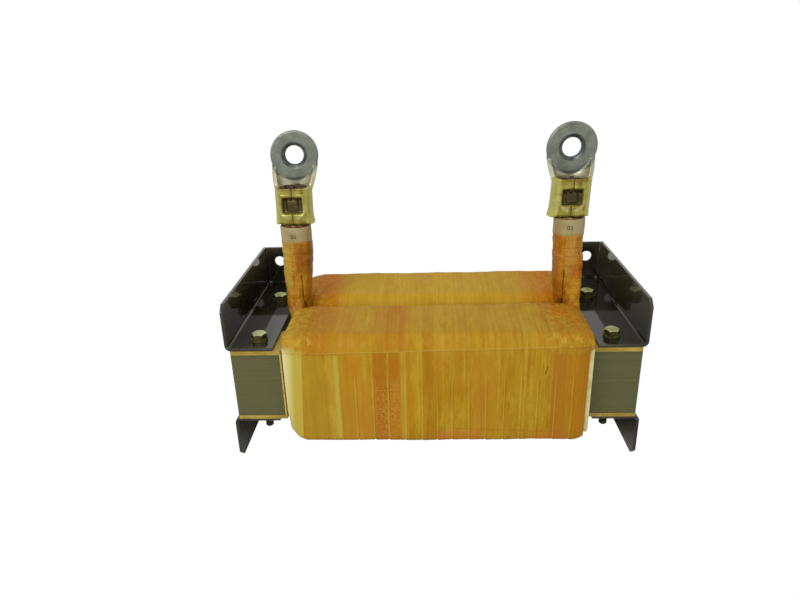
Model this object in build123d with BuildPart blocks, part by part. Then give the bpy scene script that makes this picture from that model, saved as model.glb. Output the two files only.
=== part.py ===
"""DC reactor: a gapped iron core lying flat, with two taped coils, four clamp brackets and two lugs.

X runs along the limbs, Y towards the panel that the reactor is screwed to, and Z up.
The origin is the centre of the four mounting holes, in the brackets' rear face.
"""

from build123d import *
import math
import os

# Iron core
core_length = 300.0
core_width = 110.3
stack_height = 51.5
iron_width = 35.6
gap_thickness = 2.2
panel_gap = 30.8

# Insulating sheets between the core and the brackets
sheet_thickness = 3.0
sheet_overhang = 2.0
sheet_notch_edge = 30.0

# Folded brackets
bracket_thickness = 2.3
bend_radius = 2.0
bracket_end_gap = 1.55
bracket_front_setback = 0.7
base_width = 35.3
flange_height = 35.9
corner_cut = 5.0
flange_slit = 0.8
mount_hole_inset = 14.35
mount_hole_drop = 13.15
mount_hole_diameter = 9.5

# Clamp bolts, with a sleeve round each shank
bolt_diameter = 6.0
bolt_side_inset = 15.9
bolt_end_inset = 18.7
bolt_tip = 13.4
bolt_tip_chamfer = 0.8
hex_across_flats = 10.0
head_height = 4.0
nut_height = 5.0
hex_crown = 0.96
crown_angle = 60.0
washer_diameter = 12.5
washer_thickness = 1.6
bolt_clearance = 0.15
sleeve_wall = 0.9
sleeve_clearance = 0.15
thread_clearance = 0.05
bracket_hole_clearance = 0.3

# Coils
coil_end_gap = 4.3
coil_shift = 1.9
coil_gap = 4.7
coil_top_build = 20.75
coil_bottom_build = 15.6
coil_corner = 12.0
coil_end_slope = 9.0
coil_end_drop = 4.2
former_clearance = 0.3
former_wall = 1.8
tape_thickness = 1.6
collar_thickness = 3.2
collar_inset = 4.0
collar_corner = 9.0

# Leads: two taped legs that join in one round lead
lead_end_inset = 7.3
lead_setback = 0.25
lead_rim_taper = 45.0
lead_diameter = 23.0
lead_split_height = 72.0
lead_rim_slope = 4.0
lead_seat = 0.2
leg_outboard = 5.0
leg_inboard = 1.8
leg_front_offset = 5.7
leg_rear_offset = 9.1
front_leg_width = 12.6
rear_leg_width = 10.6
leg_depth = 13.0
leg_corner = 3.0
leg_join = 4.0
leg_spread = 14.0
leg_bend_height = 44.0
leg_root = 26.0
leg_tuck = 1.5
conductor_diameter = 19.2
conductor_socket = 14.0
lead_collar_wall = 0.6
lead_neck_gap = 0.3
strand_size = 5.6
strand_groove = 0.4
strand_count = 6
strand_end = 3.0
strand_rise = 1.5

# Marker sleeves
marker_bottom = 94.5
marker_length = 14.5
marker_wall = 1.1
marker_clearance = 0.1

# Cable lugs
barrel_bottom = 111.0
barrel_length = 27.0
barrel_diameter = 27.0
lug_thickness = 3.6
bell_diameter = 30.0
bell_height = 5.0
neck_length = 9.0
neck_foot_width = 16.0
neck_foot_rise = 2.0
eye_height = 161.3
eye_diameter = 36.5
eye_hole_diameter = 13.0
eye_chamfer_width = 3.1
eye_chamfer_depth = 1.4
crimp_width = 14.0
crimp_height = 11.5
crimp_depth = 2.7
crimp_pad = 8.0
crimp_pad_rise = 1.2
crimp_draft = 20.0
seam_width = 0.6
seam_depth = 0.5

# Places worked out from the sizes
core_y = -panel_gap - core_width / 2
limb_rows = {"front": core_y - (core_width - iron_width) / 2, "rear": core_y + (core_width - iron_width) / 2}
sides = {"left": -1, "right": 1}
yoke_x = (core_length - iron_width) / 2
limb_length = core_length - 2 * (iron_width + gap_thickness)
core_top = stack_height / 2
bracket_seat = core_top + sheet_thickness
bracket_top = bracket_seat + bracket_thickness
flange_top = bracket_seat + flange_height
bracket_outer = core_length / 2 + bracket_end_gap + bracket_thickness
bracket_inner = bracket_outer - base_width
bracket_front = panel_gap + core_width - bracket_front_setback
outer_bend = bend_radius + bracket_thickness
mount_x = bracket_outer - mount_hole_inset
mount_z = flange_top - mount_hole_drop
bolt_points = [
    (side * (core_length / 2 - bolt_end_inset), core_y + row * (core_width / 2 - bolt_side_inset))
    for side in (-1, 1)
    for row in (-1, 1)
]
bore_radius = bolt_diameter / 2 + bolt_clearance
sleeve_radius = bore_radius + sleeve_wall
iron_hole_radius = sleeve_radius + sleeve_clearance
washer_top = bracket_top + washer_thickness
nut_top = -bracket_top - washer_thickness
hex_radius = hex_across_flats / 2 / math.cos(math.pi / 6)

coil_span = core_length - 2 * (iron_width + coil_end_gap)
coil_left = coil_shift - coil_span / 2
coil_right = coil_shift + coil_span / 2
coil_width = core_width - iron_width - coil_gap
coil_height = stack_height + coil_top_build + coil_bottom_build
coil_z = (coil_top_build - coil_bottom_build) / 2
former_width = iron_width + 2 * (former_clearance + former_wall)
former_height = stack_height + 2 * (former_clearance + former_wall)

lead_x = coil_span / 2 - lead_end_inset
lead_y = core_y - lead_setback
lead_radius = lead_diameter / 2
conductor_radius = conductor_diameter / 2
lead_neck_radius = conductor_radius + lead_collar_wall
lead_neck_top = barrel_bottom - lead_neck_gap
marker_bore = lead_neck_radius + marker_clearance
barrel_top = barrel_bottom + barrel_length
barrel_radius = barrel_diameter / 2
barrel_bore = barrel_radius - lug_thickness
tongue_back = lead_y + barrel_radius
neck_top = barrel_top + neck_length


def save(piece, name):
    """Label a finished piece and write it under its own name."""
    piece.part.label = name
    export_step(piece.part, f"parts/{name}.step")


def mirrored(source, *planes):
    """A copy of a finished piece, mirrored in each plane in turn."""
    with BuildPart() as piece:
        add(source.part)
        for plane in planes:
            mirror(about=plane, mode=Mode.REPLACE)
    return piece


def make_yoke(side):
    """One end block of the core, with its two bolt holes."""
    with BuildPart() as yoke:
        with BuildSketch(Plane.XY.offset(-core_top)):
            with Locations((side * yoke_x, core_y)):
                Rectangle(iron_width, core_width)
            with Locations(*bolt_points):
                Circle(iron_hole_radius, mode=Mode.SUBTRACT)
        extrude(amount=stack_height)
    return yoke


def make_limb(row_y):
    """One straight limb of the core, inside a coil."""
    with BuildPart() as limb:
        with BuildSketch(Plane.XY.offset(-core_top)):
            with Locations((0, row_y)):
                Rectangle(limb_length, iron_width)
        extrude(amount=stack_height)
    return limb


def make_gap_spacer(side, row_y):
    """The thin plate that holds one air gap open, between a limb and a yoke."""
    with BuildPart() as spacer:
        with BuildSketch(Plane.XY.offset(-core_top)):
            with Locations((side * (limb_length + gap_thickness) / 2, row_y)):
                Rectangle(gap_thickness, iron_width)
        extrude(amount=stack_height)
    return spacer


def make_sheet(side, level):
    """The insulating sheet on a yoke, notched between the two limbs."""
    width = iron_width + sheet_overhang
    notch = width - sheet_notch_edge
    with BuildPart() as sheet:
        with BuildSketch(Plane.XY.offset(core_top if level > 0 else -core_top - sheet_thickness)):
            with Locations((side * (core_length - width) / 2, core_y)):
                Rectangle(width, core_width)
            with Locations((side * (core_length / 2 - width + notch / 2), core_y)):
                Rectangle(notch, core_width - 2 * iron_width, mode=Mode.SUBTRACT)
            with Locations(*bolt_points):
                Circle(iron_hole_radius, mode=Mode.SUBTRACT)
        extrude(amount=sheet_thickness)
    return sheet


def angle_section(toe, heel):
    """A folded sheet's section: the base from toe to heel, then the flange, with a round bend between."""
    wall = heel + math.copysign(bracket_thickness, toe - heel)
    outline = (
        (toe, bracket_seat),
        (heel, bracket_seat),
        (heel, flange_top),
        (wall, flange_top),
        (wall, bracket_top),
        (toe, bracket_top),
    )
    Polygon(*outline, align=None)
    fillet(vertices().sort_by_distance((heel, bracket_seat))[0], outer_bend)
    fillet(vertices().sort_by_distance((wall, bracket_top))[0], bend_radius)


def flange_strip(x_start, x_end):
    """The upright strip of a flange above its bend, between two places along X."""
    bend_top = bracket_seat + outer_bend
    with Locations(((x_start + x_end) / 2, (bend_top + flange_top) / 2)):
        Rectangle(x_end - x_start, flange_top - bend_top)


def make_bracket():
    """The upper right bracket: base, side flange and rear flange, with a relief where the bends meet."""
    with BuildPart() as bracket:
        with BuildSketch(Plane.XZ.offset(outer_bend)):
            angle_section(bracket_inner, bracket_outer)
        extrude(amount=bracket_front - outer_bend)
        with BuildSketch(Plane.XZ):
            flange_strip(bracket_outer - bracket_thickness, bracket_outer)
        extrude(amount=outer_bend)
        with BuildSketch(Plane.YZ.offset(bracket_inner)):
            angle_section(-2 * outer_bend, 0)
        extrude(amount=base_width - outer_bend)
        with BuildSketch(Plane.XZ):
            flange_strip(bracket_inner, bracket_outer - bracket_thickness - flange_slit)
        extrude(amount=bracket_thickness)
        with BuildSketch(Plane.XZ):
            with Locations((mount_x, mount_z)):
                Circle(mount_hole_diameter / 2)
        extrude(amount=bracket_thickness, mode=Mode.SUBTRACT)
        with BuildSketch(Plane.XY.offset(bracket_seat)):
            with Locations(*bolt_points):
                Circle(bolt_diameter / 2 + bracket_hole_clearance)
        extrude(amount=bracket_thickness, mode=Mode.SUBTRACT)
        top_edges = bracket.edges().filter_by(Axis.X).group_by(Axis.Z)[-1]
        chamfer(top_edges.sort_by(Axis.Y)[0], corner_cut)
    return bracket


def make_bolts():
    """Four hexagon bolts, heads up."""
    crown_radius = hex_across_flats / 2 * hex_crown
    with BuildPart() as bolts:
        with BuildSketch(Plane.XY.offset(washer_top)):
            with Locations(*bolt_points):
                RegularPolygon(hex_radius, 6)
        extrude(amount=head_height)
        with BuildSketch(Plane.XY.offset(washer_top)):
            with Locations(*bolt_points):
                Circle(crown_radius + head_height * math.tan(math.radians(crown_angle)))
        extrude(amount=head_height, taper=crown_angle, mode=Mode.INTERSECT)
        with BuildSketch(Plane.XY.offset(washer_top)):
            with Locations(*bolt_points):
                Circle(bolt_diameter / 2)
        extrude(amount=-(washer_top + bracket_top + bolt_tip))
        chamfer(bolts.edges().group_by(Axis.Z)[0], bolt_tip_chamfer)
    return bolts


def make_nuts():
    """Four hexagon nuts under the lower brackets."""
    crown_radius = hex_across_flats / 2 * hex_crown
    with BuildPart() as nuts:
        with BuildSketch(Plane.XY.offset(nut_top)):
            with Locations(*bolt_points):
                RegularPolygon(hex_radius, 6)
        extrude(amount=-nut_height)
        with BuildSketch(Plane.XY.offset(nut_top)):
            with Locations(*bolt_points):
                Circle(crown_radius + nut_height * math.tan(math.radians(crown_angle)))
        extrude(amount=-nut_height, taper=crown_angle, mode=Mode.INTERSECT)
        with BuildSketch(Plane.XY.offset(nut_top)):
            with Locations(*bolt_points):
                Circle(bolt_diameter / 2 + thread_clearance)
        extrude(amount=-nut_height, mode=Mode.SUBTRACT)
    return nuts


def make_washers(seat):
    """Four plain washers that lie with their lower face at one height."""
    with BuildPart() as washers:
        with BuildSketch(Plane.XY.offset(seat)):
            with Locations(*bolt_points):
                Circle(washer_diameter / 2)
                Circle(bore_radius, mode=Mode.SUBTRACT)
        extrude(amount=washer_thickness)
    return washers


def make_bolt_sleeves():
    """Four insulating sleeves round the bolts, from bracket to bracket."""
    with BuildPart() as sleeves:
        with BuildSketch(Plane.XY.offset(-bracket_seat)):
            with Locations(*bolt_points):
                Circle(sleeve_radius)
                Circle(bore_radius, mode=Mode.SUBTRACT)
        extrude(amount=2 * bracket_seat)
    return sleeves


def coil_outline(row_y, grow):
    """A coil's rounded section, larger all round by grow; on Plane.YZ."""
    with Locations((row_y, coil_z)):
        RectangleRounded(coil_width + 2 * grow, coil_height + 2 * grow, coil_corner + grow)


def collar_outline(row_y, grow):
    """A collar's rounded outline, larger all round by grow; on Plane.YZ."""
    inset = collar_inset - grow
    with Locations((row_y, coil_z)):
        RectangleRounded(coil_width - 2 * inset, coil_height - 2 * inset, collar_corner + grow)


def former_outline(row_y):
    """The outside of a former's section; on Plane.YZ."""
    with Locations((row_y, 0)):
        Rectangle(former_width, former_height)


def coil_block(row_y, grow):
    """A coil's outer shape between its collars, larger all round by grow, that slopes in at its ends."""
    slope_left = coil_left + collar_thickness + coil_end_slope
    slope_right = coil_right - collar_thickness - coil_end_slope
    slope_angle = math.degrees(math.atan(coil_end_drop / coil_end_slope))
    with BuildPart() as block:
        with BuildSketch(Plane.YZ.offset(slope_left)):
            coil_outline(row_y, grow)
        extrude(amount=slope_right - slope_left)
        for plane_x, direction in ((slope_left, -1), (slope_right, 1)):
            with BuildSketch(Plane.YZ.offset(plane_x)):
                coil_outline(row_y, grow)
            extrude(amount=direction * (coil_end_slope + grow), taper=slope_angle)
    return block


def coil_seat(row_y):
    """The room that a coil and its two collars take up, with the leads' clearance round them."""
    with BuildPart() as seat:
        add(coil_block(row_y, lead_seat).part)
        with BuildSketch(Plane.YZ.offset(coil_left - lead_seat)):
            collar_outline(row_y, lead_seat)
        extrude(amount=coil_span + 2 * lead_seat)
    return seat


def make_former(row_y):
    """The square tube that a coil is wound on."""
    with BuildPart() as former:
        with BuildSketch(Plane.YZ.offset(coil_left)):
            former_outline(row_y)
            with Locations((row_y, 0)):
                Rectangle(former_width - 2 * former_wall, former_height - 2 * former_wall, mode=Mode.SUBTRACT)
        extrude(amount=coil_span)
    return former


def make_winding(row_y, core_block):
    """A coil's turns, as one solid round its former."""
    with BuildPart() as winding:
        add(core_block.part)
        with BuildSketch(Plane.YZ.offset(coil_left)):
            former_outline(row_y)
        extrude(amount=coil_span, mode=Mode.SUBTRACT)
    return winding


def make_tape(row_y, core_block):
    """The tape wound round a coil, as one skin that turns in at the coil's ends."""
    with BuildPart() as tape:
        add(coil_block(row_y, 0).part)
        add(core_block.part, mode=Mode.SUBTRACT)
        with BuildSketch(Plane.YZ.offset(coil_left)):
            former_outline(row_y)
        extrude(amount=coil_span, mode=Mode.SUBTRACT)
    return tape


def make_collar(row_y, start):
    """A stiff collar on one end of a coil, round the former."""
    with BuildPart() as collar:
        with BuildSketch(Plane.YZ.offset(start)):
            collar_outline(row_y, 0)
            with Locations((row_y, 0)):
                Rectangle(former_width, former_height, mode=Mode.SUBTRACT)
        extrude(amount=collar_thickness)
    return collar


def leg_sections(side, width, stations):
    """The sections of one flat taped leg, all one size, from their height, x and y."""
    sections = []
    for height, x, y in stations:
        with BuildSketch(Plane.XY.offset(height)) as section:
            with Locations((side * x, y)):
                Rectangle(width, leg_depth)
            chamfer(section.vertices(), leg_corner)
        sections.append(section.sketch)
    return sections


def make_lead(side, seats):
    """A round taped lead that parts into two legs, one into the inner end corner of each coil."""
    join_height = lead_split_height + leg_join
    spread_height = lead_split_height - leg_spread
    front_x = lead_x + leg_outboard
    front_y = lead_y - leg_front_offset
    rear_x = lead_x - leg_inboard
    rear_y = lead_y + leg_rear_offset
    front_leg = (
        (join_height, lead_x + front_leg_width / 4, lead_y - leg_depth / 6),
        (spread_height, front_x, front_y),
        (leg_bend_height, front_x, front_y),
        (leg_root, front_x - leg_tuck, front_y),
    )
    rear_leg = (
        (join_height, lead_x - rear_leg_width / 4, lead_y + leg_depth / 6),
        (spread_height, rear_x, rear_y),
        (leg_root, rear_x, rear_y),
    )
    with BuildPart() as lead:
        with BuildSketch(Plane.XY.offset(lead_split_height)):
            with Locations((side * lead_x, lead_y)):
                Circle(lead_radius)
        extrude(amount=marker_bottom - lead_split_height)
        with BuildSketch(Plane.XY.offset(lead_split_height)):
            with Locations((side * lead_x, lead_y)):
                Circle(lead_radius)
        extrude(amount=-lead_rim_slope, taper=lead_rim_taper)
        with BuildSketch(Plane.XY.offset(marker_bottom)):
            with Locations((side * lead_x, lead_y)):
                Circle(lead_neck_radius)
        extrude(amount=lead_neck_top - marker_bottom)
        loft(sections=leg_sections(side, front_leg_width, front_leg), ruled=True)
        loft(sections=leg_sections(side, rear_leg_width, rear_leg), ruled=True)
        for seat in seats:
            add(seat.part, mode=Mode.SUBTRACT)
        with BuildSketch(Plane.XY.offset(lead_neck_top - conductor_socket)):
            with Locations((side * lead_x, lead_y)):
                Circle(conductor_radius)
        extrude(amount=conductor_socket, mode=Mode.SUBTRACT)
    return lead


def make_conductor(side):
    """The bare end of a lead's conductor, through the lug's barrel, with its strands' ends."""
    foot = lead_neck_top - conductor_socket
    strand_base = barrel_top + strand_rise - strand_end
    with BuildPart() as conductor:
        with BuildSketch(Plane.XY.offset(foot)):
            with Locations((side * lead_x, lead_y)):
                Circle(conductor_radius)
        extrude(amount=strand_base - foot)
        with BuildSketch(Plane.XY.offset(strand_base)):
            with Locations((side * lead_x, lead_y)):
                RegularPolygon(strand_size / 2, 6, major_radius=False)
                with PolarLocations(strand_size + strand_groove, strand_count, start_angle=30):
                    RegularPolygon(strand_size / 2, 6, major_radius=False, rotation=-30)
        extrude(amount=strand_end)
    return conductor


def make_marker(side):
    """The pale marker sleeve on a lead, below its lug."""
    with BuildPart() as marker:
        with BuildSketch(Plane.XY.offset(marker_bottom)):
            with Locations((side * lead_x, lead_y)):
                Circle(marker_bore + marker_wall)
                Circle(marker_bore, mode=Mode.SUBTRACT)
        extrude(amount=marker_length)
    return marker


def make_tongue(side):
    """The flat tongue behind the barrel: it widens from its foot and ends in a round eye."""
    front = tongue_back - lug_thickness
    bevel = math.degrees(math.atan(eye_chamfer_width / eye_chamfer_depth))
    with BuildPart() as tongue:
        with BuildSketch(Plane.XZ.offset(-tongue_back)):
            with Locations((side * lead_x, 0)):
                Polygon(
                    (-neck_foot_width / 2, barrel_top - lug_thickness),
                    (neck_foot_width / 2, barrel_top - lug_thickness),
                    (barrel_radius, barrel_top + neck_foot_rise),
                    (eye_diameter / 2, eye_height),
                    (-eye_diameter / 2, eye_height),
                    (-barrel_radius, barrel_top + neck_foot_rise),
                    align=None,
                )
            with Locations((side * lead_x, eye_height)):
                Circle(eye_diameter / 2)
                Circle(eye_hole_diameter / 2, mode=Mode.SUBTRACT)
        extrude(amount=lug_thickness)
        with BuildSketch(Plane.XZ.offset(-front)):
            with Locations((side * lead_x, eye_height)):
                Circle(eye_hole_diameter / 2 + eye_chamfer_width)
        extrude(amount=-eye_chamfer_depth, taper=bevel, mode=Mode.SUBTRACT)
    return tongue


def make_crimp(side):
    """What the crimp and the brazed seam take out of the front of the barrel."""
    front = lead_y - barrel_radius
    middle = barrel_bottom + barrel_length / 2
    with BuildPart() as crimp:
        with BuildSketch(Plane.XZ.offset(-front)):
            with Locations((side * lead_x, middle)):
                Rectangle(crimp_width, crimp_height)
        extrude(amount=-crimp_depth, taper=crimp_draft)
        with BuildSketch(Plane.XZ.offset(-front - crimp_depth)):
            with Locations((side * lead_x, middle)):
                Rectangle(crimp_pad, crimp_pad)
        extrude(amount=crimp_pad_rise, taper=crimp_draft, mode=Mode.SUBTRACT)
        with BuildSketch(Plane.XZ.offset(-front)):
            with Locations((side * lead_x, middle)):
                Rectangle(seam_width, barrel_length)
                Rectangle(crimp_width, crimp_height, mode=Mode.SUBTRACT)
        extrude(amount=-seam_depth)
    return crimp


def make_lug(side):
    """A cable lug: a rolled barrel, crimped and seamed in front, that opens into a flat tongue behind."""
    bell_taper = math.degrees(math.atan((bell_diameter - barrel_diameter) / 2 / bell_height))
    with BuildPart() as lug:
        with BuildSketch(Plane.XY.offset(barrel_bottom)):
            with Locations((side * lead_x, lead_y)):
                Circle(barrel_radius)
        extrude(amount=barrel_length + neck_length)
        with BuildSketch(Plane.XY.offset(barrel_bottom)):
            with Locations((side * lead_x, lead_y)):
                Circle(bell_diameter / 2)
        extrude(amount=bell_height, taper=bell_taper)
        add(make_tongue(side).part)
        with BuildSketch(Plane.XY.offset(barrel_bottom)):
            with Locations((side * lead_x, lead_y)):
                Circle(barrel_bore)
        extrude(amount=barrel_length + neck_length, mode=Mode.SUBTRACT)
        with BuildSketch(Plane.YZ.offset(side * lead_x)):
            with Locations((lead_y, 0)):
                Polygon(
                    (-barrel_radius, barrel_top),
                    (0, barrel_top),
                    (barrel_bore, neck_top),
                    (-barrel_radius, neck_top),
                    align=None,
                )
        extrude(amount=barrel_radius, both=True, mode=Mode.SUBTRACT)
        add(make_crimp(side).part, mode=Mode.SUBTRACT)
    return lug


os.makedirs("parts", exist_ok=True)

for side_name, side in sides.items():
    save(make_yoke(side), f"yoke_{side_name}")
    for level_name, level in (("top", 1), ("bottom", -1)):
        save(make_sheet(side, level), f"insulation_{level_name}_{side_name}")
for row_name, row_y in limb_rows.items():
    save(make_limb(row_y), f"limb_{row_name}")
    for side_name, side in sides.items():
        save(make_gap_spacer(side, row_y), f"gap_spacer_{side_name}_{row_name}")

bracket = make_bracket()
save(bracket, "bracket_top_right")
save(mirrored(bracket, Plane.YZ), "bracket_top_left")
save(mirrored(bracket, Plane.XY), "bracket_bottom_right")
save(mirrored(bracket, Plane.YZ, Plane.XY), "bracket_bottom_left")
save(make_bolts(), "clamp_bolts")
save(make_nuts(), "clamp_nuts")
save(make_washers(bracket_top), "washers_top")
save(make_washers(nut_top), "washers_bottom")
save(make_bolt_sleeves(), "bolt_sleeves")

for row_name, row_y in limb_rows.items():
    core_block = coil_block(row_y, -tape_thickness)
    save(make_former(row_y), f"former_{row_name}")
    save(make_winding(row_y, core_block), f"winding_{row_name}")
    save(make_tape(row_y, core_block), f"tape_{row_name}")
    save(make_collar(row_y, coil_left), f"collar_left_{row_name}")
    save(make_collar(row_y, coil_right - collar_thickness), f"collar_right_{row_name}")

seats = [coil_seat(row_y) for row_y in limb_rows.values()]
for side_name, side in sides.items():
    save(make_lead(side, seats), f"lead_{side_name}")
    save(make_conductor(side), f"conductor_{side_name}")
    save(make_marker(side), f"marker_sleeve_{side_name}")
    save(make_lug(side), f"lug_{side_name}")
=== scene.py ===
"""DC reactor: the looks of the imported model, in metres, in the model's own frame."""

import bpy
import math
import numpy as np
from mathutils import Matrix, Vector


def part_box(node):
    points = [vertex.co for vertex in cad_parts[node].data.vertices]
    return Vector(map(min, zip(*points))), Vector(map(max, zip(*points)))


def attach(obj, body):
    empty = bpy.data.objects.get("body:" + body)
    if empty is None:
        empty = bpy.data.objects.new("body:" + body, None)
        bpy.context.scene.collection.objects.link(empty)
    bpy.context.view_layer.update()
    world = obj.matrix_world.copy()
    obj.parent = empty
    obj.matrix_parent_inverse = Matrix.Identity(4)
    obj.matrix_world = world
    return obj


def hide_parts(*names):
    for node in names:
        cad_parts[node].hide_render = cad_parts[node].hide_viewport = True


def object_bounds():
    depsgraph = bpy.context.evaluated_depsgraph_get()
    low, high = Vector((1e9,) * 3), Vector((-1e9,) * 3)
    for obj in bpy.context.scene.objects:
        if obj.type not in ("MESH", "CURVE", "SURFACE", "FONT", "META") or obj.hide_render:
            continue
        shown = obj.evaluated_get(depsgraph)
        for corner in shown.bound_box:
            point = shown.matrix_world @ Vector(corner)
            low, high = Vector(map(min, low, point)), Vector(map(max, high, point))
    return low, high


MM = 0.001
PHOTO_WIDTH = 800
FOCAL_PIXELS = 642.96
SENSOR_WIDTH = 36.0
CAMERA_PLACE = (-0.003739, -0.559709, 0.239977)
CAMERA_TURN = (-0.047, 0.389, -0.032)

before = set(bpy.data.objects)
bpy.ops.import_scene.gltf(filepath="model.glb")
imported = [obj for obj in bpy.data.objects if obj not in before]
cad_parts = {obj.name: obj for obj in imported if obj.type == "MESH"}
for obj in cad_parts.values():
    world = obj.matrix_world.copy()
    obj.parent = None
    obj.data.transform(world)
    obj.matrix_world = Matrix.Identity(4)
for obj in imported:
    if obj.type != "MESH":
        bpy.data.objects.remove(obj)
cad_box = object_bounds()


def add_object(name, data):
    """A new object in the scene."""
    made = bpy.data.objects.new(name, data)
    bpy.context.scene.collection.objects.link(made)
    return made


def wire(tree, *pairs):
    """Link each pair of sockets, from and to."""
    for start, end in pairs:
        tree.links.new(start, end)


# Camera

def make_camera():
    """The photograph's camera."""
    yaw, pitch, roll = CAMERA_TURN
    forward = np.array([math.sin(yaw) * math.cos(pitch), math.cos(yaw) * math.cos(pitch), -math.sin(pitch)])
    level = np.array([math.cos(yaw), -math.sin(yaw), 0.0])
    upright = np.cross(level, forward)
    right = math.cos(roll) * level + math.sin(roll) * upright
    up = -math.sin(roll) * level + math.cos(roll) * upright
    data = bpy.data.cameras.new("camera")
    data.sensor_width = SENSOR_WIDTH
    data.lens = FOCAL_PIXELS / PHOTO_WIDTH * SENSOR_WIDTH
    data.clip_start = 0.01
    camera = add_object("camera", data)
    turn = Matrix([[right[i], up[i], -forward[i]] for i in range(3)])
    camera.matrix_world = Matrix.Translation(CAMERA_PLACE) @ turn.to_4x4()
    bpy.context.scene.camera = camera


# Materials

def rgb(*levels):
    """A colour as the eye reads it, 0 to 255, turned linear."""
    shares = [level / 255 for level in levels]
    return tuple(s / 12.92 if s <= 0.04045 else ((s + 0.055) / 1.055) ** 2.4 for s in shares) + (1.0,)


class Look:
    """One material, grown node by node in object coordinates, which are metres in the model's frame."""

    def __init__(self, name):
        self.material = bpy.data.materials.new(name)
        self.material.use_nodes = True
        self.tree = self.material.node_tree
        self.tree.nodes.clear()
        out = self.tree.nodes.new("ShaderNodeOutputMaterial")
        self.shader = self.tree.nodes.new("ShaderNodeBsdfPrincipled")
        self.tree.links.new(self.shader.outputs[0], out.inputs[0])
        self.place = self.tree.nodes.new("ShaderNodeTexCoord").outputs["Object"]
        parts = self.tree.nodes.new("ShaderNodeSeparateXYZ")
        self.tree.links.new(self.place, parts.inputs[0])
        self.x, self.y, self.z = parts.outputs

    def put(self, socket, value):
        if isinstance(value, bpy.types.NodeSocket):
            self.tree.links.new(value, socket)
        else:
            socket.default_value = value

    def math(self, kind, a, b=0.0, c=0.0):
        node = self.tree.nodes.new("ShaderNodeMath")
        node.operation = kind
        for socket, value in zip(node.inputs, (a, b, c)):
            self.put(socket, value)
        return node.outputs[0]

    def times(self, first, *others):
        """The product of two or more values."""
        for other in others:
            first = self.math("MULTIPLY", first, other)
        return first

    def plus(self, a, b):
        return self.math("ADD", a, b)

    def minus(self, a, b):
        return self.math("SUBTRACT", a, b)

    def apart(self, a, b=0.0):
        """How far two values are apart, whichever is larger."""
        return self.math("ABSOLUTE", self.minus(a, b))

    def root_sum(self, a, b):
        """The length of a line that runs a one way and b the other."""
        return self.math("SQRT", self.plus(self.times(a, a), self.times(b, b)))

    def wave(self, value, length):
        """A sine between -1 and 1 that repeats every length."""
        return self.math("SINE", self.times(value, 2 * math.pi / length))

    def grain(self, scale, stretch=(1, 1, 1), detail=2.0, shift=(0, 0, 0), rough=0.5):
        """Noise between 0 and 1, with scale in cells a metre."""
        mapping = self.tree.nodes.new("ShaderNodeMapping")
        self.put(mapping.inputs["Vector"], self.place)
        mapping.inputs["Scale"].default_value = stretch
        mapping.inputs["Location"].default_value = shift
        node = self.tree.nodes.new("ShaderNodeTexNoise")
        self.tree.links.new(mapping.outputs[0], node.inputs["Vector"])
        node.inputs["Scale"].default_value = scale
        node.inputs["Detail"].default_value = detail
        node.inputs["Roughness"].default_value = rough
        return node.outputs["Fac"]

    def span(self, value, low, high, out_low=0.0, out_high=1.0):
        """Value taken from low..high to out_low..out_high, smoothly and no further."""
        node = self.tree.nodes.new("ShaderNodeMapRange")
        node.interpolation_type = "SMOOTHSTEP"
        for socket, part in zip(node.inputs, (value, low, high, out_low, out_high)):
            self.put(socket, part)
        return node.outputs[0]

    def band(self, value, low, high, soft):
        """One between low and high, falling off to zero over soft at both ends."""
        rising = self.span(value, low - soft, low + soft)
        return self.times(rising, self.span(value, high + soft, high - soft))

    def blend(self, share, a, b):
        node = self.tree.nodes.new("ShaderNodeMix")
        node.data_type = "RGBA"
        self.put(node.inputs[0], share)
        self.put(node.inputs[6], a)
        self.put(node.inputs[7], b)
        return node.outputs[2]

    def two_tone(self, value, low, high, first, second):
        """The first shade where a value is low, running into the second where it is high."""
        return self.blend(self.span(value, low, high), rgb(*first), rgb(*second))

    def tint(self, color, shade, *masks):
        """Another shade over a colour, as strong as the product of its masks."""
        return self.blend(self.times(*masks), color, rgb(*shade))

    def layer(self, color, shade, strength, value, low, high, *masks):
        """Another shade where a value runs from low to high, up to a strength and within masks."""
        return self.tint(color, shade, self.span(value, low, high), strength, *masks)

    def zone(self, color, shade, strength, x=None, z=None, soft=0.0015, frayed=1.0):
        """Another shade between limits in millimetres, frayed by a noise."""
        masks = [frayed, strength]
        for value, limits, edge in ((self.x, x, soft), (self.z, z, soft * 2.5)):
            if limits is not None:
                masks.append(self.band(value, limits[0] * MM, limits[1] * MM, edge))
        return self.tint(color, shade, *masks)

    def bump(self, height, distance, before=None, strength=1.0):
        node = self.tree.nodes.new("ShaderNodeBump")
        self.put(node.inputs["Height"], height)
        node.inputs["Distance"].default_value = distance
        node.inputs["Strength"].default_value = strength
        if before is not None:
            self.tree.links.new(before, node.inputs["Normal"])
        return node.outputs[0]

    def finish(self, color, roughness, metallic=0.0, normal=None, coat=0.0, coat_roughness=0.1,
               specular=0.5):
        """Set the shader's inputs and give the material."""
        self.put(self.shader.inputs["Base Color"], color)
        self.put(self.shader.inputs["Roughness"], roughness)
        self.shader.inputs["Metallic"].default_value = metallic
        self.shader.inputs["Coat Weight"].default_value = coat
        self.shader.inputs["Coat Roughness"].default_value = coat_roughness
        self.shader.inputs["Specular IOR Level"].default_value = specular
        if normal is not None:
            self.tree.links.new(normal, self.shader.inputs["Normal"])
        return self.material


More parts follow.
